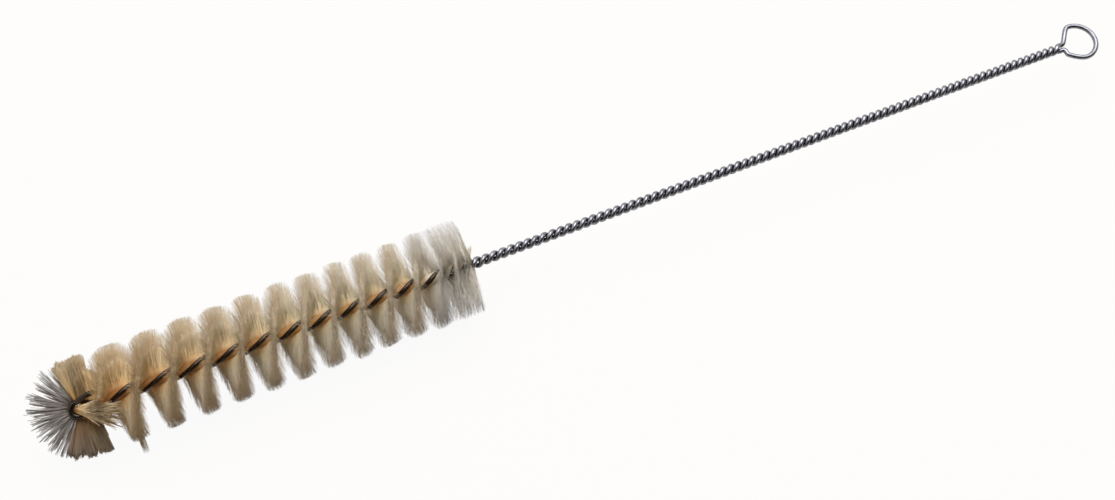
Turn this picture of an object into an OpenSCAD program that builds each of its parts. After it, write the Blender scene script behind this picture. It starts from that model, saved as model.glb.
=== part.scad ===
// Test tube brush. One steel wire is doubled at the hanging ring and twisted left-handed on
// itself. Between its two strands it grips a layer of bristles, which the twist turns into a
// double spiral. At the tip the twisted pair is folded back on itself.
// The brush lies along X, tip towards -X, on the flattened underside of its bristles.

/* [Wire] */
// Diameter of the wire
wire_d = 1.3; // [1:0.05:1.5]
// Daylight between the strands where they lie together
strand_gap = 0.18; // [0.12:0.01:0.3]
// Length of the bare twisted handle, from the bristles to the ring
handle_length = 168; // [100:1:220]
// Length over which the strands close up at the end of the bristles
closing_length = 6; // [4:0.5:8]
// Length over which the twist runs out before the ring
release_length = 2.5; // [1.5:0.1:4]

/* [Twist] */
// Advance per turn at the tip
lead_tip = 20; // [18:0.1:24]
// Advance per turn in the last full spiral of the bristles
lead_brush = 13.4; // [11:0.1:16]
// Advance per turn at the start of the handle
lead_handle = 4.55; // [4.4:0.05:6]
// Advance per turn beside the ring
lead_ring = 3.71; // [3.66:0.01:5]
// Length over which the twist tightens at the end of the bristles
tighten_length = 9; // [6:0.5:14]

/* [Ring] */
// Diameter of the ring, through the middle of the wire
ring_d = 10.1; // [8:0.1:14]
// Distance from the end of the twist to the middle of the ring
ring_reach = 4.3; // [3.6:0.1:6]
// Distance of the straight shoulder from the middle of the ring
shoulder_out = 3.5; // [3:0.1:4.4]
// Direction of the straight shoulder, from +X towards +Y
shoulder_angle = 143; // [138:1:148]
// Distance of the returning leg from the middle of the ring
return_out = 4.7; // [4:0.1:5]
// Direction of the returning leg, from +X towards +Y
return_angle = 235; // [230:1:240]

/* [Tip fold] */
// Radius of the fold, through the middle of the pair
fold_r = 1.7; // [1.7:0.05:2.2]
// Length of the leg that is folded back
hook_length = 5; // [4:0.1:7]
// Sideways set of the leg's end, which stands off the core
hook_skew = 3.6; // [3.5:0.1:4.5]
// Length over which the core moves aside to make room for the leg
set_length = 10; // [8:0.5:14]
// Clearance between bristles and leg
leg_gap = 0.3; // [0.25:0.05:0.5]

/* [Bristles] */
// Diameter over the bristles
bristle_d = 25; // [18:0.5:32]
// Length from the fold at the tip to the last bristles
brush_length = 101.5; // [70:0.5:130]
// Thickness of the bristle layer between the strands
grip = 1.1; // [1:0.05:1.5]
// Clearance between bristles and wire
grip_gap = 0.18; // [0.15:0.01:0.25]
// Width along the brush of one ridge at its tips
ridge_width = 4.2; // [3:0.1:6]
// Distance by which the tips lean towards the middle at either end
lean = 1.1; // [0:0.1:2]
// Thickness of the tip fan at its rim
fan_width = 2.4; // [1.6:0.1:3.5]
// Distance between the tip fan and the first ridge
fan_gap = 0.3; // [0.2:0.05:0.5]
// Depth to which the underside is flattened where the brush lies
flat_depth = 0.4; // [0.2:0.05:0.8]

/* [Hidden] */

// Facets: sides of the wire, stations per turn, stations of the folds, points of a ridge
wire_sides = 6;
brush_stations = 10;
end_stations = 14;
handle_stations = 7;
fold_stations = 6;
ring_stations = 24;
release_stations = 5;
ridge_points = 5;
fan_facets = 64;

// Shape of the ring: start and end of its round part, and sharpness of its corners
ring_start = 165;
ring_end = -150;
corner_power = 14;

// Shape of a ridge: widest half angle, half angle beside the strands
ridge_limit = 66;
foot_angle = 70;

neck_x = brush_length + handle_length;
tighten_x = brush_length - tighten_length;
release_x = neck_x - release_length;
close_x = brush_length - closing_length / 2;
open_r = (wire_d + grip) / 2;
closed_r = (wire_d + strand_gap) / 2;
bristle_r = bristle_d / 2;
ring_r = ring_d / 2;
axis_height = bristle_r - flat_depth;
rear_x = fold_r - bristle_r;
front_x = neck_x + ring_reach + ring_r + wire_d / 2;
middle_x = (rear_x + front_x) / 2;
ridge_x = fold_r + fan_gap;

// Unit vectors along the brush, and across it from +Y towards +Z
along = [1, 0, 0];
function across(angle) = [0, cos(angle), sin(angle)];

// Value from 0 to 1 kept inside those limits, and the same eased at both ends
function share(t) = min(max(t, 0), 1);
function eased(t) = share(t) * share(t) * (3 - 2 * share(t));

// Turns made between x0 and x, where the turns per millimetre go evenly from a to b at x1
function turned(x, x0, x1, a, b) =
    let (s = min(max(x, x0), x1) - x0)
    a * s + (b - a) * s * s / (2 * (x1 - x0));

// Turns of the twist from the tip to station x
function turns(x) =
    turned(x, 0, tighten_x, 1 / lead_tip, 1 / lead_brush)
    + turned(x, tighten_x, brush_length, 1 / lead_brush, 1 / lead_handle)
    + turned(x, brush_length, release_x, 1 / lead_handle, 1 / lead_ring)
    + turned(x, release_x, neck_x, 1 / lead_ring, 0);

// Turns per millimetre at station x of the bristles
function pace(x, x0, x1, a, b) = a + (b - a) * (x - x0) / (x1 - x0);
function rate(x) = x < tighten_x
    ? pace(x, 0, tighten_x, 1 / lead_tip, 1 / lead_brush)
    : pace(x, tighten_x, brush_length, 1 / lead_brush, 1 / lead_handle);

// Angle of the first strand at station x; the strands lie level at the ring
function phase(x) = 360 * (turns(neck_x) - turns(x));

// Distance of a strand from the middle of the pair at station x
function opening(x) = open_r + (closed_r - open_r) * eased((x - close_x) / closing_length);

// Directions at the fold: from core to leg, and across the plane of the fold
fold_angle = phase(fold_r) + 90;
fold_up = across(fold_angle);
fold_side = across(fold_angle + 90);

// Distance from the brush's axis to the core, which moves aside before the fold
function aside(x) = -fold_r * eased(1 - (x - fold_r) / set_length);
function core(x) = x * along + aside(x) * fold_up;

// Stations from x0 to x1, a given number of them in each turn, without the last
function stations(x0, x1, per_turn) =
    let (n = max(1, ceil((turns(x1) - turns(x0)) * per_turn)))
    [for (i = [0:n - 1]) x0 + (x1 - x0) * i / n];

core_x = concat(
    stations(fold_r, tighten_x, brush_stations),
    stations(tighten_x, brush_length, handle_stations),
    stations(brush_length, release_x, handle_stations),
    [for (i = [0:release_stations]) release_x + release_length * i / release_stations]
);
ridge_xs = concat(
    stations(ridge_x, tighten_x, brush_stations),
    stations(tighten_x, brush_length, end_stations),
    [brush_length]
);

// The folded leg from its cut end, the fold, and the core up to the ring: places on the
// middle of the pair, and the direction and distance from there to the first strand
function leg_turn(t) = phase(fold_r) - 360 * t * hook_length / lead_tip;
leg_t = [for (i = [fold_stations:-1:1]) i / fold_stations];
fold_t = [for (i = [fold_stations:-1:1]) 180 * i / fold_stations];
pair_middle = concat(
    [
        for (t = leg_t)
            (fold_r + t * hook_length) * along + fold_r * fold_up + t * hook_skew * fold_side
    ],
    [for (a = fold_t) fold_r * ((1 - sin(a)) * along - cos(a) * fold_up)],
    [for (x = core_x) core(x)]
);
pair_side = concat(
    [for (t = leg_t) across(leg_turn(t))],
    [for (a = fold_t) -fold_side],
    [for (x = core_x) across(phase(x))]
);
pair_out = concat(
    [for (t = leg_t) open_r],
    [for (a = fold_t) open_r],
    [for (x = core_x) opening(x)]
);

// Radius of the ring in a direction: a circle cut by two straight legs, corners rounded
function leg_share(angle, out) = max(cos(angle), 0) * ring_r / out;
function ring_radius(a) =
    ring_r / pow(
        1 + pow(leg_share(a - shoulder_angle, shoulder_out), corner_power)
        + pow(leg_share(a - return_angle, return_out), corner_power),
        1 / corner_power
    );
ring_path = concat(
    [[neck_x, closed_r, 0]],
    [
        for (i = [0:ring_stations])
            let (a = ring_start + (ring_end - ring_start) * i / ring_stations)
            (neck_x + ring_reach) * along + ring_radius(a) * [cos(a), sin(a), 0]
    ],
    [[neck_x, -closed_r, 0]]
);
function unit(v) = v / norm(v);

// Directions of a path at its points, with those of its two ends given
function headings(path, first, last) = concat(
    [first],
    [for (i = [1:len(path) - 2]) unit(path[i + 1] - path[i - 1])],
    [last]
);

// Wire along a path with the given directions; side points across it and turns evenly
module wire(path, ahead, side) {
    last = len(path) - 1;
    rings = [
        for (i = [0:last])
            let (
                n = unit(side[i] - (side[i] * ahead[i]) * ahead[i]),
                b = cross(ahead[i], n)
            )
            for (k = [0:wire_sides - 1])
                let (a = 360 * (k + 0.5) / wire_sides)
                path[i] + wire_d / 2 * (cos(a) * n + sin(a) * b)
    ];
    skin = [
        for (i = [0:last - 1])
            for (k = [0:wire_sides - 1])
                let (
                    p = i * wire_sides + k,
                    q = i * wire_sides + (k + 1) % wire_sides
                )
                each [[p, q + wire_sides, q], [p, p + wire_sides, q + wire_sides]]
    ];
    ends = [
        [for (k = [0:wire_sides - 1]) k],
        [for (k = [wire_sides - 1:-1:0]) last * wire_sides + k]
    ];
    polyhedron(rings, concat(ends, skin));
}

// The strand on one side of the pair, from its cut end to the ring
module strand(s) {
    path = pair_middle + [for (i = [0:len(pair_side) - 1]) s * pair_out[i] * pair_side[i]];
    wire(path, headings(path, unit(path[1] - path[0]), along), s * pair_side);
}

// The two strands, twisted together, with the leg folded back at the tip
module twisted_wire() {
    color("silver") {
        strand(1);
        strand(-1);
    }
}

// The ring in which the wire turns back, to hang the brush by
module hanging_ring() {
    ahead = headings(ring_path, along, -along);
    color("silver")
        wire(ring_path, ahead, [for (t = ahead) cross([0, 0, 1], t)]);
}

// Half section of the bristles across the brush at station x: neck, foot and rim of one
// ridge. Each entry has the place along and across the ridge, and 1 for points of the rim
function ridge(x) =
    let (
        neck = opening(x) - wire_d / 2 - grip_gap,
        foot = opening(x) + wire_d / 2 + grip_gap,
        half = min(180 * ridge_width * rate(x), ridge_limit)
    )
    concat(
        [[wire_d, -neck, 0], [foot * cos(foot_angle), -foot * sin(foot_angle), 0]],
        [
            for (i = [0:ridge_points - 1])
                let (a = half * (2 * i / (ridge_points - 1) - 1))
                [bristle_r * cos(a), bristle_r * sin(a), 1]
        ],
        [[foot * cos(foot_angle), foot * sin(foot_angle), 0], [wire_d, neck, 0]]
    );

// One point of the section, set into place; the underside is flattened where it lies
function ridge_place(x, p, s) =
    let (
        a = phase(x) + 90,
        away = lean * (1 - 2 * x / brush_length),
        q = s * (p[0] * across(a) + p[1] * across(a + 90))
            + (p[2] == 1 ? (x + away) * along : core(x))
    )
    [q[0], q[1], max(q[2], -axis_height)];

// Room for the folded leg
module leg_room() {
    rotate([fold_angle, 0, 0])
        translate([fold_r, fold_r, 0])
            rotate([0, 90 - atan2(hook_skew, hook_length), 0])
                translate([0, 0, -fold_r])
                    cylinder(
                        r = open_r + wire_d / 2 + leg_gap,
                        h = fold_r + norm([hook_length, hook_skew]) + leg_gap
                    );
}

// The bristles gripped along the straight core, as two ridges that wind round it
module bristle_spiral() {
    m = len(ridge(ridge_x));
    ring = 2 * m;
    last = len(ridge_xs) - 1;
    top = (m - 1) / 2;
    points = [
        for (x = ridge_xs)
            for (s = [1, -1])
                for (p = ridge(x))
                    ridge_place(x, p, s)
    ];
    skin = [
        for (i = [0:last - 1])
            for (k = [0:ring - 1])
                let (
                    p = i * ring + k,
                    q = i * ring + (k + 1) % ring,
                    rim = k % m > 1 && k % m < m - 3
                )
                each rim
                    ? [[p, q + ring, q], [p, p + ring, q + ring]]
                    : [[p, p + ring, q], [q, p + ring, q + ring]]
    ];
    cap = concat(
        [for (h = [0, m]) for (k = [1:m - 2]) [h + top, h + (top + k) % m, h + (top + k + 1) % m]],
        [[0, m - 1, m], [0, m, ring - 1]]
    );
    ends = concat(
        cap,
        [for (f = cap) last * ring * [1, 1, 1] + [f[2], f[1], f[0]]]
    );
    color("wheat")
        difference() {
            polyhedron(points, concat(skin, ends));
            leg_room();
        }
}

// The bristles gripped in the fold, which spread into a fan round the tip
module tip_tuft() {
    inner = grip / 2 - grip_gap;
    clear = fold_r + wire_d / 2 + grip_gap;
    color("tan")
        rotate([fold_angle, 0, 0])
            translate([fold_r, 0, 0])
                rotate([0, 0, 90])
                    rotate_extrude(angle = 180, $fn = fan_facets)
                        polygon([
                            [0, -inner],
                            [clear, -inner],
                            [bristle_r, -fan_width / 2],
                            [bristle_r, fan_width / 2],
                            [clear, inner],
                            [0, inner]
                        ]);
}

translate([-middle_x, 0, axis_height]) {
    twisted_wire();
    hanging_ring();
    bristle_spiral();
    tip_tuft();
}
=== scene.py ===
"""Test tube brush: its twisted steel wire and its natural bristles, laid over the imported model.

Sizes are millimetres measured from the fold at the tip, X along the brush and the twist's
axis at zero. settle() carries points into the shared frame, in metres.
"""

import bpy
import numpy as np
from mathutils import Matrix


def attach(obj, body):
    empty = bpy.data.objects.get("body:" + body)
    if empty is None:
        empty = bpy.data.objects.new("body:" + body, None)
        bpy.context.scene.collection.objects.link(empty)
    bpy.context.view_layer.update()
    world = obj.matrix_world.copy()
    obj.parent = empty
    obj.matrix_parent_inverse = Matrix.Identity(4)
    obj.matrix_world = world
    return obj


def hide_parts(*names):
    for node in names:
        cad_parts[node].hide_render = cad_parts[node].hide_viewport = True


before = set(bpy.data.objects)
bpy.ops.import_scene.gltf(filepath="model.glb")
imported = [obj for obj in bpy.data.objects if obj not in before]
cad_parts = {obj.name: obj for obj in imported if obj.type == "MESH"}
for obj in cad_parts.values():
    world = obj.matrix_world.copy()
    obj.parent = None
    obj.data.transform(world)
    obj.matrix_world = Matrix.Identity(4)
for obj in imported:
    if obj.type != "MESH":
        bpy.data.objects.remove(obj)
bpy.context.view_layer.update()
chance = np.random.default_rng(41)

MILLIMETRE = 0.001

# Wire; its cut ends keep a share of the thickness
WIRE_D = 1.3
CUT_END = 0.8
STRAND_GAP = 0.18
HANDLE_LENGTH = 168.0
CLOSING_LENGTH = 6.0
RELEASE_LENGTH = 2.5
# Stations along the wire, corners round it, and how far its joints to fold and ring are softened
WIRE_STEP, WIRE_SIDES, JOINT_SPREAD = 0.26, 14, 0.35
# Twist, as the advance per turn
LEAD_TIP, LEAD_BRUSH, LEAD_HANDLE, LEAD_RING = 20.0, 13.4, 4.55, 3.71
TIGHTEN_LENGTH = 9.0
# Ring
RING_R = 5.05
RING_REACH = 4.3
SHOULDER_OUT, SHOULDER_ANGLE = 3.5, np.radians(143.0)
RETURN_OUT, RETURN_ANGLE = 4.7, np.radians(235.0)
RING_START, RING_END = np.radians(165.0), np.radians(-150.0)
CORNER_POWER = 14
# Fold at the tip
FOLD_R = 1.7
HOOK_LENGTH, HOOK_SKEW, SET_LENGTH = 5.0, 3.6, 10.0
# Points along the leg and along the fold, along the core, and round the ring
FOLD_POINTS, CORE_POINTS, RING_POINTS = 60, 9000, 240

# Bristles
BRISTLE_R = 12.5
BRUSH_LENGTH = 101.5
GRIP = 1.1
RIDGE_WIDTH = 4.2
LEAN = 1.1
FLAT_DEPTH = 0.4
BRISTLE_COUNT = 30000
# The trimmed rim is highest at a share of its width and falls by a share of the reach to its edges
RIM_TOP, ROUND_OFF = 0.33, 0.045
# Tips beyond this station are held back from the handle by a share
RIM_END, RIM_HOLD = 99.8, 0.8
# The wire's cut ends part the bristles between these stations
OPEN_START, OPEN_END = 5.3, 7.4
# Single bristles: corners round one, places along it, thinning to the tip, height over the ground,
# and in the spiral their sway and thickness
HAIR_SIDES, HAIR_PLACES = 3, np.array([0.0, 0.4, 0.75, 1.0])
HAIR_TAPER, HAIR_CLEAR = 0.45, 0.1
HAIR_SWAY, HAIR_THIN, HAIR_THICK = 0.08, 0.05, 0.075
# Packed bristles behind the single ones, with shares of the full reach and of the ridge's width
PACKED_REACH, PACKED_WIDTH = 0.68, 0.17
PACKED_STEP, PACKED_END, PACKED_CLEAR = 0.13, 99.3, 0.15
FLANK_PLACES = np.array([0.02, 0.1, 0.2, 0.35, 0.55, 0.75, 0.9])
RIM_PLACES = np.linspace(0.0, 1.0, 9)
# Roots between the strands; they end short of the last bristles
ROOTS_R, ROOTS_GAIN, ROOTS_LOSS = 1.3, 0.4, 0.5
ROOTS_STEP, ROOTS_SIDES, ROOTS_SHORT = 0.5, 12, 2.0
# Packed flanks have a bristle's colours up to this share of it, rim and roots those of these
# places.
# The rim's darker end colours are painted shade among the single bristles; the roots' dark colour
# is partly painted shade at the core.
FLANK_COLOUR, RIM_SHADE_COLOUR, ROOTS_COLOUR = 0.6, (0.9, 1.0), 0.02

# Changes along the brush, each as the station where it starts and the length that it takes
SET_FREE = (4.0, 4.0)
TIP_PALER = (4.0, 7.0)
BRUSH_PALER = (0.0, 75.0)
BLEACHED = (86.0, 7.0)
PACKED_SHORTER = (88.0, 6.0)
PACKED_SLIMMER = (88.0, 5.0)
ROOTS_WIDER = (89.0, 4.0)
ROOTS_SLIMMER = (96.5, 3.0)
LAID_LOOSER = (30.0, 40.0)
LAID_SPARSE = (94.0, 4.0)
ASTRAY = (90.0, 6.0)
# Past here the wire leaves its brown among the bristles, partly dirt and partly painted shade
WIRE_CLEAN_AND_UNSHADED = (BRUSH_LENGTH - 5.0, 5.0)
# From this station on the single bristles are bare down to the wire
BARE_X = 91.0

# Tones: what each of these changes adds, and the range over which one colour gives way to another
TONE_START, TONE_TIP, TONE_BRUSH, TONE_BLEACHED = 0.085, 0.085, 0.34, 0.24
TONE_SCATTER, TONE_LEAST, TONE_MOST = 0.03, 0.05, 0.7
# The brown below the fold is partly painted shade
SHADE_BROWN_SHARE, SHADE_BROWN_LEAST, SHADE_BROWN_MOST = 0.6, 0.03, 0.06
TO_BROWN, TO_PALE, TO_BLEACHED, TO_GREY = (0.1, 0.02), (0.1, 0.5), (0.52, 0.68), (0.72, 0.85)

# Packed lobes of the fan: reach, how far they stay behind it, half width, degrees to a station
FAN_REACH, FAN_TRIM, FAN_WIDTH, FAN_STEP = 0.98 * BRISTLE_R, 1.0, 1.1, 0.6
# The lower lobe's brown tone is partly painted shade under the fold
LOWER_SHADE_TONE, UPPER_TONE, UPPER_HAIR_TONE = 0.025, 0.075, 0.08

NECK_X = BRUSH_LENGTH + HANDLE_LENGTH
TIGHTEN_X = BRUSH_LENGTH - TIGHTEN_LENGTH
RELEASE_X = NECK_X - RELEASE_LENGTH
CLOSE_X = BRUSH_LENGTH - CLOSING_LENGTH / 2
OPEN_R = (WIRE_D + GRIP) / 2
CLOSED_R = (WIRE_D + STRAND_GAP) / 2
AXIS_HEIGHT = BRISTLE_R - FLAT_DEPTH
MIDDLE_X = (FOLD_R - BRISTLE_R + NECK_X + RING_REACH + RING_R + WIRE_D / 2) / 2
ALONG = np.array([1.0, 0.0, 0.0])
FOLD_MIDDLE = FOLD_R * ALONG


def settle(points):
    """Points in the shared frame, in metres: the brush's middle over the origin, its underside
    at zero."""
    return (points + np.array([-MIDDLE_X, 0.0, AXIS_HEIGHT])) * MILLIMETRE


def eased(t):
    """Share from 0 to 1 that starts and ends gently: 3 t squared less 2 t cubed, t kept within
    0 and 1."""
    t = np.clip(t, 0.0, 1.0)
    return t * t * (3.0 - 2.0 * t)


def risen(x, start, length):
    """Share at x of a change that is eased in from its start over its length."""
    return eased((x - start) / length)


def across(angle):
    """Unit vector across the brush, turned from +Y towards +Z by the angle."""
    return np.stack([np.zeros_like(angle), np.cos(angle), np.sin(angle)], axis=-1)


def unit(v):
    """Vectors brought to length one."""
    return v / np.linalg.norm(v, axis=-1, keepdims=True)


def turned(x, x0, x1, a, b):
    """Turns made from x0 to x while the turns per millimetre go evenly from a to b at x1: the
    area under that line."""
    s = np.clip(x, x0, x1) - x0
    return a * s + (b - a) * s * s / (2.0 * (x1 - x0))


def turns(x):
    """Turns of the twist from the tip to x, added up over tip, end of bristles, handle and
    run-out."""
    return (
        turned(x, 0.0, TIGHTEN_X, 1 / LEAD_TIP, 1 / LEAD_BRUSH)
        + turned(x, TIGHTEN_X, BRUSH_LENGTH, 1 / LEAD_BRUSH, 1 / LEAD_HANDLE)
        + turned(x, BRUSH_LENGTH, RELEASE_X, 1 / LEAD_HANDLE, 1 / LEAD_RING)
        + turned(x, RELEASE_X, NECK_X, 1 / LEAD_RING, 0.0)
    )


def phase(x):
    """Angle of the first strand at x, zero at the ring and left-handed: a full circle times the
    turns still to come."""
    return 2.0 * np.pi * (turns(NECK_X) - turns(x))


def opening(x):
    """Distance of a strand from the middle of the pair: wide round the bristles, eased to closed
    along the handle."""
    return OPEN_R + (CLOSED_R - OPEN_R) * risen(x, CLOSE_X, CLOSING_LENGTH)


FOLD_PHASE = phase(np.float64(FOLD_R))
FOLD_UP = across(FOLD_PHASE + np.pi / 2)
FOLD_SIDE = across(FOLD_PHASE + np.pi / 2 + np.pi / 2)


def core(x):
    """Middle of the pair at x: on the axis, and eased aside by the fold's radius towards the
    fold."""
    aside = -FOLD_R * eased(1.0 - (x - FOLD_R) / SET_LENGTH)
    return np.multiply.outer(x, ALONG) + np.multiply.outer(aside, FOLD_UP)


def pair_path():
    """Middle of the pair from the cut ends to the ring, with side direction and strand distance.

    The leg is a straight line that leans to FOLD_SIDE, the fold is a half circle of FOLD_R, and
    the core follows core(). The first strand lies on the side direction, the second opposite.
    """
    t = np.linspace(1.0, 0.0, FOLD_POINTS, endpoint=False)
    leg = (
        np.multiply.outer(FOLD_R + t * HOOK_LENGTH, ALONG)
        + FOLD_R * FOLD_UP
        + np.multiply.outer(t * HOOK_SKEW, FOLD_SIDE)
    )
    leg_side = across(FOLD_PHASE - 2.0 * np.pi * t * HOOK_LENGTH / LEAD_TIP)
    a = np.linspace(np.pi, 0.0, FOLD_POINTS, endpoint=False)
    fold = FOLD_R * (
        np.multiply.outer(1.0 - np.sin(a), ALONG) - np.multiply.outer(np.cos(a), FOLD_UP)
    )
    fold_side = np.broadcast_to(-FOLD_SIDE, fold.shape)
    x = np.linspace(FOLD_R, NECK_X, CORE_POINTS)
    middle = np.concatenate([leg, fold, core(x)])
    side = np.concatenate([leg_side, fold_side, across(phase(x))])
    out = np.concatenate([np.full(2 * FOLD_POINTS, OPEN_R), opening(x)])
    return middle, side, out


def ring_path():
    """Ring in the plane of the handle: a circle cut by two straight legs, in polar form.

    Radius = R / (1 + sum over legs of (cos(angle to leg) R / leg distance) ^ p) ^ (1 / p), and
    the high power p rounds the corners a little.
    """
    a = np.linspace(RING_START, RING_END, RING_POINTS)
    legs = [(SHOULDER_ANGLE, SHOULDER_OUT), (RETURN_ANGLE, RETURN_OUT)]
    cut = sum(
        (np.maximum(np.cos(a - at), 0.0) * RING_R / out) ** CORNER_POWER for at, out in legs
    )
    r = RING_R / (1.0 + cut) ** (1.0 / CORNER_POWER)
    return np.stack(
        [NECK_X + RING_REACH + r * np.cos(a), r * np.sin(a), np.zeros_like(a)], axis=-1
    )


def lengths(path):
    """Distance along a path at each of its points: running sum of the steps between them."""
    return np.concatenate([[0.0], np.cumsum(np.linalg.norm(np.diff(path, axis=0), axis=1))])


def whole_wire(step, spread):
    """The one wire from cut end to cut end, at even steps, with its side directions and how
    closely it is paired.

    First strand outwards, ring, second strand back. Places come from the running length; round
    the joints to fold and ring a bell-shaped average of the neighbours softens the kinks.
    """
    middle, side, out = pair_path()
    ring = ring_path()
    ring_ahead = unit(np.gradient(ring, axis=0))
    ring_side = np.cross([0.0, 0.0, 1.0], ring_ahead)
    near = risen(middle[:, 0], CLOSE_X, CLOSING_LENGTH)
    aside = side * out[:, None]
    path = np.concatenate([middle + aside, ring, (middle - aside)[::-1]])
    sides = np.concatenate([side, ring_side, -side[::-1]])
    paired = np.concatenate([near, np.zeros(len(ring)), near[::-1]])
    s = lengths(path)
    outwards = [FOLD_POINTS, 2 * FOLD_POINTS, len(middle)]
    joints = s[outwards + [len(path) - 1 - k for k in outwards[:2]] + [len(middle) + len(ring)]]
    at = np.linspace(0.0, s[-1], int(s[-1] / step))
    path = np.stack([np.interp(at, s, path[:, k]) for k in range(3)], axis=-1)
    sides = unit(np.stack([np.interp(at, s, sides[:, k]) for k in range(3)], axis=-1))
    paired = np.interp(at, s, paired)
    reach = int(3 * spread / step)
    bell = np.exp(-0.5 * (np.arange(-reach, reach + 1) * step / spread) ** 2)
    bell = bell / bell.sum()
    padded = np.pad(path, ((reach, reach), (0, 0)), mode="edge")
    soft = np.stack([np.convolve(padded[:, k], bell, "valid") for k in range(3)], axis=-1)
    pull = np.exp(-((at[:, None] - joints[None, :]) / (2.5 * spread)) ** 2).max(axis=1)
    path = path + pull[:, None] * (soft - path)
    return path, sides, paired


def circle(level, rise, sides):
    """Angles evenly round a circle, and for each pair of its axes the directions
    cos(angle) level + sin(angle) rise."""
    a = 2.0 * np.pi * np.arange(sides) / sides
    turn = (
        np.cos(a)[None, :, None] * level[:, None, :] + np.sin(a)[None, :, None] * rise[:, None, :]
    )
    return a, turn


def closed_skin(rows, sides):
    """Faces over rows of points that each go once round: a square between each two neighbours
    of two rows, and a cap on the first and on the last row."""
    i, k = np.meshgrid(np.arange(rows - 1), np.arange(sides), indexing="ij")
    j = (k + 1) % sides
    squares = np.stack(
        [i * sides + k, i * sides + j, (i + 1) * sides + j, (i + 1) * sides + k], axis=-1
    )
    caps = np.stack([np.arange(sides)[::-1], (rows - 1) * sides + np.arange(sides)])
    return squares.reshape(-1, 4), caps


def swept(path, side, radius, sides):
    """Round skin carried along a path: at each station a circle of the given radius about it.

    Circle point = place + radius (cos(angle) side + sin(angle) (ahead x side)), side first
    squared to the path.
    """
    ahead = unit(np.gradient(path, axis=0))
    level = unit(side - (side * ahead).sum(axis=1, keepdims=True) * ahead)
    a, turn = circle(level, np.cross(ahead, level), sides)
    points = path[:, None, :] + radius[:, None, None] * turn
    n = len(path)
    return points.reshape(-1, 3), closed_skin(n, sides), np.broadcast_to(a, (n, sides))


def bristles(root, tip, sway, thick, tone, start):
    """Bristles as slim three-sided tubes, drawn from a share of their length to the tip.

    Point at share t of a bristle = root + t (tip - root) + t squared sway, kept above the ground
    that the brush lies on; its radius goes from thick / 2 at the root to a bit over half of that
    at the tip.
    """
    t = start[:, None] + (1.0 - start[:, None]) * HAIR_PLACES
    straight = root[:, None, :] + t[..., None] * (tip - root)[:, None, :]
    line = straight + (t * t)[..., None] * sway[:, None, :]
    line[..., 2] = np.maximum(line[..., 2], HAIR_CLEAR - AXIS_HEIGHT)
    ahead = unit(tip - root)
    level = unit(np.cross(ahead, chance.normal(size=ahead.shape)))
    turn = circle(level, np.cross(ahead, level), HAIR_SIDES)[1]
    radius = thick[:, None] / 2 * (1.0 - HAIR_TAPER * t ** 2)
    points = line[:, :, None, :] + radius[:, :, None, None] * turn[:, None, :, :]
    count, rows = t.shape
    shape = (count, rows, HAIR_SIDES)
    first = np.arange(count)[:, None, None] * rows * HAIR_SIDES
    faces = [(first + f).reshape(-1, f.shape[1]) for f in closed_skin(rows, HAIR_SIDES)]
    marks = {
        "along": np.broadcast_to(t[:, :, None], shape),
        "tone": np.broadcast_to(tone[:, None, None], shape),
    }
    return points.reshape(-1, 3), faces, marks


def piece(name, points, faces, marks, finish, slot, *nodes):
    """One mesh of the brush at the origin, with its per-point marks, its finish and the nodes of
    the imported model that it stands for.

    Bristles also get a flat map whose axes are the marks; neighbouring points are a small step
    apart on it, so that no face closes up.
    """
    mesh = bpy.data.meshes.new(name)
    corners = np.concatenate([f.ravel() for f in faces]).astype(np.int32)
    sizes = np.concatenate([np.full(len(f), f.shape[1]) for f in faces])
    starts = (np.cumsum(sizes) - sizes).astype(np.int32)
    mesh.vertices.add(len(points))
    mesh.vertices.foreach_set("co", settle(points).astype(np.float32).ravel())
    mesh.loops.add(len(corners))
    mesh.loops.foreach_set("vertex_index", corners)
    mesh.polygons.add(len(sizes))
    mesh.polygons.foreach_set("loop_start", starts)
    mesh.polygons.foreach_set("use_smooth", sizes == 4)
    mesh.update(calc_edges=True)
    for mark, values in marks.items():
        layer = mesh.attributes.new(mark, "FLOAT", "POINT")
        layer.data.foreach_set("value", values.astype(np.float32).ravel())
    if "tone" in marks:
        edge, span, step = 0.02, 0.95, 0.01
        spot = np.stack([marks["along"].ravel(), marks["tone"].ravel()], axis=-1)
        spot[:, 1] = edge + span * spot[:, 1] + step * (np.arange(len(spot)) % 3)
        flat = mesh.uv_layers.new(name="OFBake")
        flat.data.foreach_set("uv", spot[corners].astype(np.float32).ravel())
    mesh.materials.append(finish)
    made = bpy.data.objects.new(name, mesh)
    bpy.context.collection.objects.link(made)
    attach(made, "root")
    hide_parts(*nodes)


def linear(code):
    """Linear colour from an sRGB hex code such as #c8b08a."""
    c = np.array([int(code[i:i + 2], 16) for i in (1, 3, 5)]) / 255.0
    c = np.where(c <= 0.04045, c / 12.92, ((c + 0.055) / 1.055) ** 2.4)
    return (*c.tolist(), 1.0)


def add(tree, kind, settings, inputs):
    """Adds a node, sets its own settings (a ramp takes its stops), and fills or links its
    inputs."""
    made = tree.nodes.new(kind)
    for key, value in settings.items():
        if key == "stops":
            stops = made.color_ramp.elements
            stops.remove(stops[1])
            for i, (at, code) in enumerate(value):
                stop = stops[0] if i == 0 else stops.new(at)
                stop.position, stop.color = at, linear(code)
        else:
            setattr(made, key, value)
    for key, value in inputs.items():
        if isinstance(value, bpy.types.NodeSocket):
            tree.links.new(value, made.inputs[key])
        else:
            made.inputs[key].default_value = value
    return made


def mark_of(tree, name):
    """A per-point mark of the mesh."""
    return add(tree, "ShaderNodeAttribute", {"attribute_name": name}, {}).outputs["Fac"]


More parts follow.
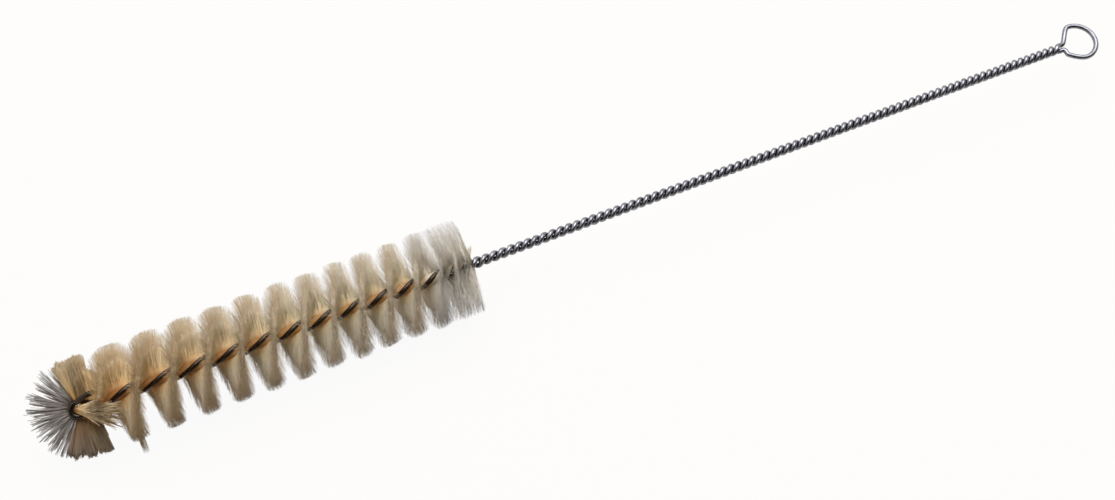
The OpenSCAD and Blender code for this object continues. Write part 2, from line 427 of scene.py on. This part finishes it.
def ramp(tree, share, *stops):
    """Colour that runs with a share through stops, each a place and an sRGB code."""
    return add(tree, "ShaderNodeValToRGB", {"stops": stops}, {"Fac": share}).outputs["Color"]


def blend(tree, share, first, second):
    """Colour that goes with a share from the first to the second."""
    inputs = {0: share, 6: first, 7: second}
    return add(tree, "ShaderNodeMix", {"data_type": "RGBA"}, inputs).outputs[2]


def carried(tree, value, from_ends, to_ends, way="LINEAR"):
    """Value carried from one range to another and kept within it."""
    inputs = {
        "Value": value,
        "From Min": from_ends[0], "From Max": from_ends[1],
        "To Min": to_ends[0], "To Max": to_ends[1],
    }
    return add(tree, "ShaderNodeMapRange", {"interpolation_type": way}, inputs).outputs["Result"]


def reckoned(tree, operation, first, second):
    """Two values put together by an operation."""
    return add(tree, "ShaderNodeMath", {"operation": operation}, {0: first, 1: second}).outputs[0]


def finish(name):
    """An empty material to be filled with nodes."""
    made = bpy.data.materials.new(name)
    made.use_nodes = True
    made.node_tree.nodes.clear()
    return made, made.node_tree


WHOLE = (0.0, 1.0)

# Drawn steel wire with a thin galvanised skin: satin grey, bright where it meets the light and a
# little blotched by the zinc. Near black, partly dirt and partly painted shade, lies where the
# strands face each other, and among the bristles the wire takes a brown that is partly dirt and
# partly painted shade of the bristles.
BLOTCH_SCALE = 650.0  # blotches about 1.5 mm across
STEEL_ROUGH = (0.2, 0.34)
steel, tree = finish("galvanised_steel_wire_drawn")
where = add(tree, "ShaderNodeTexCoord", {}, {}).outputs["Object"]
blotch = add(
    tree, "ShaderNodeTexNoise", {}, {"Vector": where, "Scale": BLOTCH_SCALE, "Detail": 3.0}
).outputs["Fac"]
zinc = ramp(tree, blotch, (0.3, "#727278"), (0.7, "#98989c"))
dirt_and_shade = blend(tree, mark_of(tree, "groove_dirt_and_shade"), zinc, linear("#1d1c1b"))
browned_and_shaded = blend(tree, mark_of(tree, "bare"), linear("#4a4038"), dirt_and_shade)
rough = carried(tree, blotch, WHOLE, STEEL_ROUGH)
shine = add(
    tree, "ShaderNodeBsdfPrincipled", {},
    {"Base Color": browned_and_shaded, "Metallic": 1.0, "Roughness": rough},
)
add(tree, "ShaderNodeOutputMaterial", {}, {"Surface": shine.outputs["BSDF"]})

# Natural bristle, washed and cut to length: a soft sheen with a little warm light passing through,
# golden where it is gripped and bleached towards the cut ends. The dark first stops at the root are
# partly the bristle's own colour and partly painted shade at the core. The tone runs from brown
# through golden, pale and bleached to grey; below the fold the brown is partly painted shade.
THROUGH_SHARE = 0.05
bristle, tree = finish("natural_bristle_cut")
along = mark_of(tree, "along")
tone = mark_of(tree, "tone")
golden = ramp(
    tree, along, (0.0, "#8e5826"), (0.06, "#b87c3c"), (0.16, "#f4c078"), (0.32, "#ffdc9c"),
    (0.65, "#ffe4b4"), (0.85, "#eacea0"), (1.0, "#b8a27e"),
)
pale = ramp(
    tree, along, (0.0, "#a87840"), (0.06, "#e0b47a"), (0.16, "#ffeabe"), (0.32, "#fff6d8"),
    (0.65, "#fff6e0"), (0.85, "#ecdabc"), (1.0, "#beae94"),
)
bleached = ramp(
    tree, along, (0.0, "#dccfb6"), (0.3, "#fff6e6"), (0.7, "#f8f2e8"), (1.0, "#cac6be"),
)
grey = ramp(
    tree, along, (0.0, "#7c6a54"), (0.3, "#a0958a"), (0.65, "#b2aaa3"), (1.0, "#b0aaa5"),
)
# Brown: the bristles' own brown, and below the fold partly painted shade
brown = ramp(
    tree, along, (0.0, "#6b4a2c"), (0.3, "#83654a"), (0.65, "#877463"), (0.8, "#8c7b6b"),
    (1.0, "#ab9d90"),
)
mixed = golden
for range_of_tone, colour in [
    (TO_PALE, pale), (TO_BLEACHED, bleached), (TO_GREY, grey), (TO_BROWN, brown),
]:
    mixed = blend(tree, carried(tree, tone, range_of_tone, WHOLE), mixed, colour)
# Neighbouring tones differ in lightness, about fifty steps over the whole range
LIGHTNESS_STEPS, LIGHTNESS = 50.0, (0.93, 1.05)
uneven = add(
    tree, "ShaderNodeTexNoise", {"noise_dimensions": "1D"},
    {"W": tone, "Scale": LIGHTNESS_STEPS, "Detail": 0.0},
).outputs["Fac"]
lighter = carried(tree, uneven, (0.25, 0.75), LIGHTNESS)
varied = add(tree, "ShaderNodeHueSaturation", {}, {"Value": lighter, "Color": mixed})
sheen = add(
    tree, "ShaderNodeBsdfPrincipled", {},
    {
        "Base Color": varied.outputs["Color"],
        "Roughness": 0.45, "IOR": 1.55, "Specular IOR Level": 0.2,
    },
)
through = add(tree, "ShaderNodeBsdfTranslucent", {}, {"Color": linear("#e8a860")})
hair = add(
    tree, "ShaderNodeMixShader", {}, {0: THROUGH_SHARE, 1: sheen.outputs[0], 2: through.outputs[0]}
)
add(tree, "ShaderNodeOutputMaterial", {}, {"Surface": hair.outputs[0]})

# The wire, its cut ends a little rounded
path, side, paired = whole_wire(WIRE_STEP, JOINT_SPREAD)
radius = np.full(len(path), WIRE_D / 2)
radius[[0, -1]] *= CUT_END
points, faces, angle = swept(path, side, radius, WIRE_SIDES)
# Painted shade with dirt on the side of each strand that faces the other, where they are paired
inward = np.clip(-np.cos(angle), 0.0, 1.0) * paired[:, None]
# Among the bristles the wire is darkened to brown: partly dirt, partly painted shade of the
# bristles
clean_and_unshaded = np.broadcast_to(risen(path[:, :1], *WIRE_CLEAN_AND_UNSHADED), inward.shape)
marks = {"groove_dirt_and_shade": inward, "bare": clean_and_unshaded}
piece("wire", points, faces, marks, steel, "steel_wire", "twisted_wire", "hanging_ring")


def ridge_tip(x, half, splay, reach):
    """Place of a bristle's tip on the double spiral, for stations x on the first ridge (half 0)
    or the second (half pi).

    Tip = (x + lean + splay) along + reach across(phase + a quarter turn + half). The lean draws
    the tips towards the middle of the brush, and tips beyond the last bristles are held back from
    the handle. Next to the fold the bristles are still held in its plane, so there the splay is
    across that plane.
    """
    held = 1.0 - risen(x, *SET_FREE)
    turn = phase(x) + held * (FOLD_PHASE - phase(x)) + np.pi / 2 + half
    far = x + LEAN * (1.0 - 2.0 * x / BRUSH_LENGTH) + (1.0 - held) * splay
    far = far - RIM_HOLD * np.maximum(far - RIM_END, 0.0)
    sideways = np.multiply.outer(held * splay, FOLD_SIDE)
    return np.multiply.outer(far, ALONG) + sideways + reach[:, None] * across(turn)


def spiral_tone(x, half):
    """Tone of the bristles at x: golden at the tip of the brush, paler towards the handle, with a
    small scatter, and on the side below the fold a brown that is partly painted shade."""
    tone = (
        TONE_START
        + TONE_TIP * risen(x, *TIP_PALER)
        + TONE_BRUSH * risen(x, *BRUSH_PALER)
        + TONE_BLEACHED * risen(x, *BLEACHED)
        + chance.normal(0.0, TONE_SCATTER, x.shape)
    )
    # Below the fold a brown tone stands partly for painted shade
    below_fold = (half > 1.0) & (x < OPEN_START)
    brown = np.clip(SHADE_BROWN_SHARE * tone, SHADE_BROWN_LEAST, SHADE_BROWN_MOST)
    return np.where(below_fold, brown, np.clip(tone, TONE_LEAST, TONE_MOST))


def uneven_cut(x):
    """Slow unevenness of the trimmed rim at x, up to a third of a millimetre: two waves of
    different length."""
    return 0.18 * np.sin(2.1 * x) + 0.14 * np.sin(5.3 * x + 1.0)


def trimmed(w):
    """Share of the full reach across a rim, w from 0 at the edge on the tip's side to 1 on the
    handle's side: a small round on the first and a wide round on the second, both as squares of
    the distance from RIM_TOP."""
    before = np.maximum(RIM_TOP - w, 0.0) / RIM_TOP
    after = np.maximum(w - RIM_TOP, 0.0) / (1.0 - RIM_TOP)
    return 1.0 - ROUND_OFF * before ** 2 - ROUND_OFF * after ** 2


def packed(root, tip_a, tip_b, tone):
    """Closely packed bristles as one closed skin: at each station a section from the root up one
    flank, over the rim and down the other flank.

    Flank point = root + t (tip - root) for shares t; rim point = root + f (rim - root) with rim
    between the two tips and f = trimmed(w), which falls off towards the edges and rounds them.
    """
    rim_scatter, tone_least, tone_most = 0.012, 0.85, 1.15
    t, w = FLANK_PLACES, RIM_PLACES
    f = trimmed(w)
    foot = root[:, None, :]
    up = foot + f[0] * t[None, :, None] * (tip_a - root)[:, None, :]
    down = foot + f[-1] * t[None, ::-1, None] * (tip_b - root)[:, None, :]
    rim = tip_a[:, None, :] + w[None, :, None] * (tip_b - tip_a)[:, None, :]
    cut = f[None, :] * chance.normal(1.0, rim_scatter, rim.shape[:2])
    rim = foot + cut[..., None] * (rim - foot)
    points = np.concatenate([up, rim, down], axis=1)
    points[..., 2] = np.maximum(points[..., 2], PACKED_CLEAR - AXIS_HEIGHT)
    n, m = points.shape[:2]
    points = points.reshape(-1, 3)
    faces = closed_skin(n, m)
    a, b, c, d = (points[faces[0][:, q]] for q in range(4))
    if (np.cross(c - a, d - b) * (a + b + c + d)).sum() < 0.0:
        faces = [f[:, ::-1] for f in faces]
    flank = np.tile(FLANK_COLOUR * t, (n, 1))
    # The rim takes the darker colours of the bristle ends as painted shade among the single
    # bristles
    ends = chance.uniform(*RIM_SHADE_COLOUR, (n, len(w)))
    marks = {
        "along": np.concatenate([flank, ends, flank[:, ::-1]], axis=1),
        "tone": tone[:, None] * chance.uniform(tone_least, tone_most, (n, m)),
    }
    return points, faces, marks


def spiral_body(half, x):
    """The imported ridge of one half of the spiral, a station for every bristle's width, with the
    bristles' unevenness. It is slim where it starts and shrinks at the last bristles."""
    slim, gain, gain_length, loss = 0.7, 0.3, 1.5, 0.4
    reach_scatter, turn_scatter, width_scatter = 0.12, 0.006, 0.06
    n = len(x)
    wide = slim + gain * risen(x, x[0], gain_length) - loss * risen(x, *PACKED_SLIMMER)
    width = PACKED_WIDTH * RIDGE_WIDTH * wide
    reach = PACKED_REACH * BRISTLE_R * (1.0 - loss * risen(x, *PACKED_SHORTER))
    reach = reach + uneven_cut(x + half) + chance.normal(0.0, reach_scatter, n)
    turn = half + chance.normal(0.0, turn_scatter, n)
    tip_a = ridge_tip(x, turn, -width + chance.normal(0.0, width_scatter, n), reach)
    tip_b = ridge_tip(x, turn, width + chance.normal(0.0, width_scatter, n), reach)
    return packed(core(x), tip_a, tip_b, spiral_tone(x, half))


for name, half, x0, x1 in [
    ("packed_first", 0.0, FOLD_R, PACKED_END),
    ("packed_second", np.pi, OPEN_END, PACKED_END),
    ("packed_start", np.pi, FOLD_R, OPEN_START),
]:
    points, faces, marks = spiral_body(half, np.arange(x0, x1, PACKED_STEP))
    piece(name, points, faces, marks, bristle, "bristle", "bristle_spiral")


# Roots of the bristles, squeezed between the strands; their dark root colour is partly painted
# shade at the core
x = np.arange(FOLD_R, BRUSH_LENGTH - ROOTS_SHORT, ROOTS_STEP)
radius = ROOTS_R + ROOTS_GAIN * risen(x, *ROOTS_WIDER) - ROOTS_LOSS * risen(x, *ROOTS_SLIMMER)
points, faces, angle = swept(core(x), across(phase(x)), radius, ROOTS_SIDES)
marks = {
    "along": np.full(angle.shape, ROOTS_COLOUR),
    "tone": np.broadcast_to(spiral_tone(x, 0.0)[:, None], angle.shape),
}
piece("packed_roots", points, faces, marks, bristle, "bristle", "bristle_spiral")


def laid_stations(count):
    """Stations of bristles along the core, closely laid and thinning out over the last ones: the
    inverse of the running total of their number."""
    places, looser, sparser = 500, 0.25, 0.1
    at = np.linspace(FOLD_R, BRUSH_LENGTH, places)
    laid = np.cumsum(1.0 - looser * risen(at, *LAID_LOOSER) - sparser * risen(at, *LAID_SPARSE))
    return np.interp((np.arange(count) + chance.random(count)) / count, laid / laid[-1], at)


def spiral_bristles(count):
    """Single bristles of the two ridges: close in the middle of a ridge, sparse and more bleached
    towards its edges. Most show from a share of their length on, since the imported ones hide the
    rest, and the last ones stray from the ridge."""
    middle, spread, gathered, overhang = 0.5, 0.3, 0.6, 1.1
    inset, cut_scatter, splay_scatter = 0.3, 0.12, 0.08
    stray, stray_gain, edge_bleach = 0.02, 0.5, 0.12
    bare_share, bare_from, shown_first, shown_last = 0.06, 0.05, 0.2, 0.62
    x = laid_stations(count)
    half = np.pi * chance.integers(0, 2, count)
    w = np.clip(chance.normal(middle, spread, count), 0.0, 1.0)
    inside = (w > 0.0) & (w < 1.0) & (chance.random(count) < gathered)
    w = np.where(inside, w, chance.random(count))
    shorter = cut_scatter * np.abs(chance.normal(size=count))
    reach = BRISTLE_R * trimmed(w) - inset + uneven_cut(x + half) - shorter
    splay = overhang * RIDGE_WIDTH * (w - middle) * trimmed(w)
    astray = chance.normal(0.0, stray + stray_gain * risen(x, *ASTRAY), count)
    tip = ridge_tip(x, half + astray, splay + chance.normal(0.0, splay_scatter, count), reach)
    bleach = edge_bleach * (2.0 * w - 1.0) ** 2 * (spiral_tone(x, half) >= TO_PALE[0])
    bare = (x > BARE_X) | (chance.random(count) < bare_share)
    start = np.where(bare, bare_from, chance.uniform(shown_first, shown_last, count))
    return x, core(x), tip, np.clip(spiral_tone(x, half) + bleach, 0.0, TONE_MOST), start


def clump(count, x0, x1, ahead, angle, reach):
    """Bristles of one place that stick out together, all in nearly the same direction:
    tip = (x + ahead) along + reach across(angle)."""
    turn_scatter, shorter, shown_from = 0.05, 0.15, 0.3
    pale, pale_scatter, pale_least, pale_most = 0.3, 0.1, 0.11, 0.6
    x = chance.uniform(x0, x1, count)
    turn = np.radians(angle) + chance.normal(0.0, turn_scatter, count)
    reaches = reach * (1.0 - shorter * chance.random(count))
    tip = np.multiply.outer(x + ahead, ALONG) + reaches[:, None] * across(turn)
    tone = np.clip(chance.normal(pale, pale_scatter, count), pale_least, pale_most)
    return x, core(x), tip, tone, np.full(count, shown_from)


# The bristles of the spiral, a tuft that sticks out below and a small one at the handle
groups = [
    spiral_bristles(BRISTLE_COUNT),
    clump(110, 12.0, 13.4, 0.0, 205.0, 15.6),
    clump(30, 99.4, 100.4, 2.2, 25.0, 4.6),
]
x, root, tip, tone, start = (np.concatenate(column) for column in zip(*groups))
kept = (x < OPEN_START) | (x > OPEN_END)
x, root, tip, tone, start = (column[kept] for column in (x, root, tip, tone, start))
sway = chance.normal(0.0, HAIR_SWAY, tip.shape)
thick = chance.uniform(HAIR_THIN, HAIR_THICK, len(x))
zones = ["bristles_tip", "bristles_front", "bristles_middle", "bristles_handle"]
limits = np.linspace(0.0, BRUSH_LENGTH + 1, len(zones) + 1)
for name, x0, x1 in zip(zones, limits[:-1], limits[1:]):
    of_zone = (x >= x0) & (x < x1)
    columns = (column[of_zone] for column in (root, tip, sway, thick, tone, start))
    points, faces, marks = bristles(*columns)
    piece(name, points, faces, marks, bristle, "bristle", "bristle_spiral")


def fan_out(a):
    """Direction out of the fold at angle a: from straight down at zero, by the tip, to straight
    up."""
    return -np.multiply.outer(np.sin(a), ALONG) - np.multiply.outer(np.cos(a), FOLD_UP)


def fan_cut(a):
    """Unevenness of the fan's trimmed rim at angle a: that of the spiral's rim, coarser."""
    return 2.2 * uneven_cut(9.0 * a)


def fan_tip(reach, a, aside):
    """Tip of a bristle of the fan: middle of the fold + reach out(a) + aside along FOLD_SIDE."""
    return FOLD_MIDDLE + reach[:, None] * fan_out(a) + np.multiply.outer(aside, FOLD_SIDE)


def fan_body(first, last, reach, width, tone):
    """Packed bristles round the fold from one angle to the other: roots in its eye, a flat sheet
    of the given width."""
    eye, cut_scatter, width_scatter, tone_least, tone_most = 0.2, 0.08, 0.02, 0.8, 1.2
    a = np.radians(np.arange(first, last, FAN_STEP))
    n = len(a)
    reaches = reach - FAN_TRIM + fan_cut(a) + chance.normal(0.0, cut_scatter, n)
    end = FOLD_MIDDLE + reaches[:, None] * fan_out(a)
    root = FOLD_MIDDLE + eye * FOLD_R * fan_out(a)
    wide = np.multiply.outer(width + chance.normal(0.0, width_scatter, n), FOLD_SIDE)
    return packed(root, end - wide, end + wide, tone * chance.uniform(tone_least, tone_most, n))


def grey_tone(count):
    """Tones of the grey bristles at the tip of the fan."""
    middle, scatter, least, most = 0.9, 0.05, 0.86, 1.0
    return np.clip(chance.normal(middle, scatter, count), least, most)


def swayed(count, sway, thin, thick):
    """Sway and thickness of the fan's bristles."""
    return chance.normal(0.0, sway, (count, 3)), chance.uniform(thin, thick, count)


def fan_bristles(spikes, each):
    """Bristles gripped in the fold: roots on its half circle, tips gathered into spikes of a fan
    round it, where all bristles of a spike share nearly the same angle, reach and sideways
    scatter."""
    first, span = np.radians(32.0), np.radians(140.0)
    tip_scatter, root_scatter, spike_aside, aside_scatter = 0.016, 0.12, 1.2, 0.15
    spike_shorter, hair_shorter = 1.6, 2.5
    count = spikes * each
    share = (np.arange(spikes) + chance.uniform(0.1, 0.9, spikes)) / spikes
    spike_a = np.repeat(first + span * share, each)
    a = spike_a + chance.normal(0.0, tip_scatter, count)
    from_a = np.clip(spike_a + chance.normal(0.0, root_scatter, count), 0.0, np.pi)
    reach = np.repeat(BRISTLE_R - spike_shorter * chance.random(spikes), each)
    reach = reach - hair_shorter * chance.random(count) ** 2
    aside = np.repeat(chance.uniform(-spike_aside, spike_aside, spikes), each)
    aside = aside + chance.normal(0.0, aside_scatter, count)
    root = FOLD_R * (ALONG + fan_out(from_a))
    tone = grey_tone(count)
    return root, fan_tip(reach, a, aside), *swayed(count, 0.2, 0.2, 0.28), tone


def fan_filling(count):
    """Shorter and broken bristles between the spikes of the fan, evenly spread."""
    first, last, near, far, tip_scatter, aside_scatter = 30.0, 164.0, 4.0, 8.8, 0.04, 0.7
    a = np.radians(chance.uniform(first, last, count))
    reach = chance.uniform(near, far, count)
    root = FOLD_R * (ALONG + fan_out(a))
    tip_a = a + chance.normal(0.0, tip_scatter, count)
    tip = fan_tip(reach, tip_a, chance.normal(0.0, aside_scatter, count))
    return root, tip, *swayed(count, 0.2, 0.18, 0.26), grey_tone(count)


def fold_lobe(count, first, last, tone):
    """Closely set bristles where the wire runs into the fold: roots on the bend, tips below or
    above it, evenly spread from one angle to the other, with a sideways scatter."""
    inset, cut_scatter, half_width, tone_scatter = 0.7, 0.4, 1.3, 0.01
    a = np.radians(chance.uniform(first, last, count))
    reach = BRISTLE_R - inset + fan_cut(a) - cut_scatter * np.abs(chance.normal(size=count))
    aside = chance.uniform(-half_width, half_width, count)
    root = FOLD_R * (ALONG + fan_out(a))
    tone = np.clip(chance.normal(tone, tone_scatter, count), 0.0, TONE_MOST)
    return root, fan_tip(reach, a, aside), *swayed(count, 0.15, 0.16, 0.22), tone


def inner_ends(count, first, last, near, far):
    """Inner ends of the fan's bristles: from the bend's eye they are pushed out past the core, on
    the open side.

    Tip = middle of the fold + reach (cos b along - sin b FOLD_UP) + a stand-off along FOLD_SIDE,
    with b from one angle to the other and the reach from near to far.
    """
    eye, root_least, root_most, tip_least, tip_most = 0.5, 0.6, 1.8, 4.0, 7.0
    middle, scatter, least, most = 0.15, 0.06, 0.06, 0.6
    b = np.radians(chance.uniform(first, last, count))
    start = np.pi * chance.random(count)
    aim = np.multiply.outer(np.cos(b), ALONG) - np.multiply.outer(np.sin(b), FOLD_UP)
    reach = chance.uniform(near, far, count)
    root_off = np.multiply.outer(chance.uniform(root_least, root_most, count), FOLD_SIDE)
    root = FOLD_MIDDLE + eye * FOLD_R * fan_out(start) + root_off
    tip_off = np.multiply.outer(chance.uniform(tip_least, tip_most, count), FOLD_SIDE)
    tip = FOLD_MIDDLE + reach[:, None] * aim + tip_off
    tone = np.clip(chance.normal(middle, scatter, count), least, most)
    return root, tip, *swayed(count, 0.4, 0.2, 0.27), tone


# The fan: grey spikes with short hairs between them, a brown lobe below that is partly painted
# shade, a golden one above, and the inner ends beside the hook
groups = [
    fan_bristles(28, 9),
    fan_filling(260),
    fold_lobe(460, -5.0, 36.0, LOWER_SHADE_TONE),
    fold_lobe(200, 168.0, 185.0, UPPER_HAIR_TONE),
    inner_ends(380, 4.0, 42.0, 5.0, 10.5),
    inner_ends(130, -10.0, 30.0, 3.5, 7.0),
]
root, tip, sway, thick, tone = (np.concatenate(column) for column in zip(*groups))
points, faces, marks = bristles(root, tip, sway, thick, tone, np.zeros(len(root)))
piece("tip_fan", points, faces, marks, bristle, "bristle", "tip_tuft")
for name, first, last, tone in [
    ("packed_lower", -6.0, 36.0, LOWER_SHADE_TONE),
    ("packed_upper", 171.0, 186.0, UPPER_TONE),
]:
    points, faces, marks = fan_body(first, last, FAN_REACH, FAN_WIDTH, tone)
    piece(name, points, faces, marks, bristle, "bristle", "tip_tuft")


def seen(tree, ray):
    """1 for what is seen straight, mirrored or through something clear, and 0 for soft light."""
    mirrored = reckoned(
        tree, "MAXIMUM", ray.outputs["Is Camera Ray"], ray.outputs["Is Glossy Ray"]
    )
    return reckoned(tree, "MAXIMUM", mirrored, ray.outputs["Is Transmission Ray"])


# Ground: plain paper that looks white, takes a soft shadow of the brush and throws a warm light
# back at its underside
GROUND_HALF = 3.0
PAPER_WHITE = 0.94
ground_mesh = bpy.data.meshes.new("ground")
ground_mesh.from_pydata(
    [(GROUND_HALF * i, GROUND_HALF * j, 0.0) for i, j in [(-1, -1), (1, -1), (1, 1), (-1, 1)]],
    [], [(0, 1, 2, 3)],
)
ground = bpy.data.objects.new("ground", ground_mesh)
bpy.context.collection.objects.link(ground)
paper, tree = finish("white_paper")
ray = add(tree, "ShaderNodeLightPath", {}, {})
share = reckoned(tree, "MULTIPLY", seen(tree, ray), PAPER_WHITE)
matt = add(tree, "ShaderNodeBsdfDiffuse", {}, {"Color": linear("#dcc8a8")})
white = add(tree, "ShaderNodeEmission", {}, {"Color": linear("#ffffff"), "Strength": 1.0})
both = add(tree, "ShaderNodeMixShader", {}, {0: share, 1: matt.outputs[0], 2: white.outputs[0]})
add(tree, "ShaderNodeOutputMaterial", {}, {"Surface": both.outputs[0]})
ground_mesh.materials.append(paper)

# Sky of the studio: soft white, bright above and on the far side, dim on the near side
SKY_TURN, SKY_LEVELS, SKY_SHARE = (-0.6, 0.25), (0.05, 1.0), 0.79
scene = bpy.context.scene
world = bpy.data.worlds.new("studio")
scene.world = world
world.use_nodes = True
tree = world.node_tree
tree.nodes.clear()
ray = add(tree, "ShaderNodeLightPath", {}, {})
toward = add(tree, "ShaderNodeTexCoord", {}, {})
axes = add(tree, "ShaderNodeSeparateXYZ", {}, {"Vector": toward.outputs["Generated"]})
level = carried(tree, axes.outputs["Y"], SKY_TURN, SKY_LEVELS, "SMOOTHSTEP")
share = reckoned(tree, "MULTIPLY", level, SKY_SHARE)
full = reckoned(tree, "MAXIMUM", level, ray.outputs["Is Camera Ray"])
soft = add(tree, "ShaderNodeBackground", {}, {"Color": linear("#ffffff"), "Strength": share})
white = add(tree, "ShaderNodeBackground", {}, {"Color": linear("#ffffff"), "Strength": full})
both = add(
    tree, "ShaderNodeMixShader", {},
    {0: seen(tree, ray), 1: soft.outputs[0], 2: white.outputs[0]},
)
add(tree, "ShaderNodeOutputWorld", {}, {"Surface": both.outputs[0]})


def posed(turn, place):
    """Matrix of a thing with the given axes as columns, set at a place."""
    return Matrix([[*turn[i], place[i]] for i in range(3)] + [[0, 0, 0, 1]])


def lamp(name, place, aim, size, power):
    """A square soft light at a place, turned to its aim: its back axis points from the aim to the
    place."""
    data = bpy.data.lights.new(name, "AREA")
    data.size, data.energy, data.color = size, power, linear("#f6f9ff")[:3]
    made = bpy.data.objects.new(name, data)
    back = unit(np.array(place) - np.array(aim))
    right = unit(np.cross([0.0, 0.0, 1.0], back))
    made.matrix_world = posed(np.stack([right, np.cross(back, right), back], axis=1), place)
    bpy.context.collection.objects.link(made)


lamp("key", (0.22, 0.36, 0.91), (0.0, 0.0, 0.0), 0.9, 10.2)

# Camera where the photograph was taken from: 66 degrees above the ground, 22 degrees round
CAMERA_PLACE = (-0.06382, -0.13218, 0.32174)
CAMERA_TILT, CAMERA_SWING = np.radians(66.0), np.radians(22.016)
SENSOR, FOCAL_SHARE = 36.0, 1360.0 / 1115.0
level = np.cos(CAMERA_TILT)
right = np.array([np.cos(CAMERA_SWING), -np.sin(CAMERA_SWING), 0.0])
back = -np.array(
    [np.sin(CAMERA_SWING) * level, np.cos(CAMERA_SWING) * level, -np.sin(CAMERA_TILT)]
)
eye = bpy.data.cameras.new("camera")
eye.sensor_fit, eye.sensor_width = "HORIZONTAL", SENSOR
eye.lens = SENSOR * FOCAL_SHARE
eye.clip_start, eye.clip_end = 0.01, 50.0
camera = bpy.data.objects.new("camera", eye)
camera.matrix_world = posed(np.stack([right, np.cross(back, right), back], axis=1), CAMERA_PLACE)
bpy.context.collection.objects.link(camera)
scene.camera = camera
scene.view_settings.view_transform = "Standard"
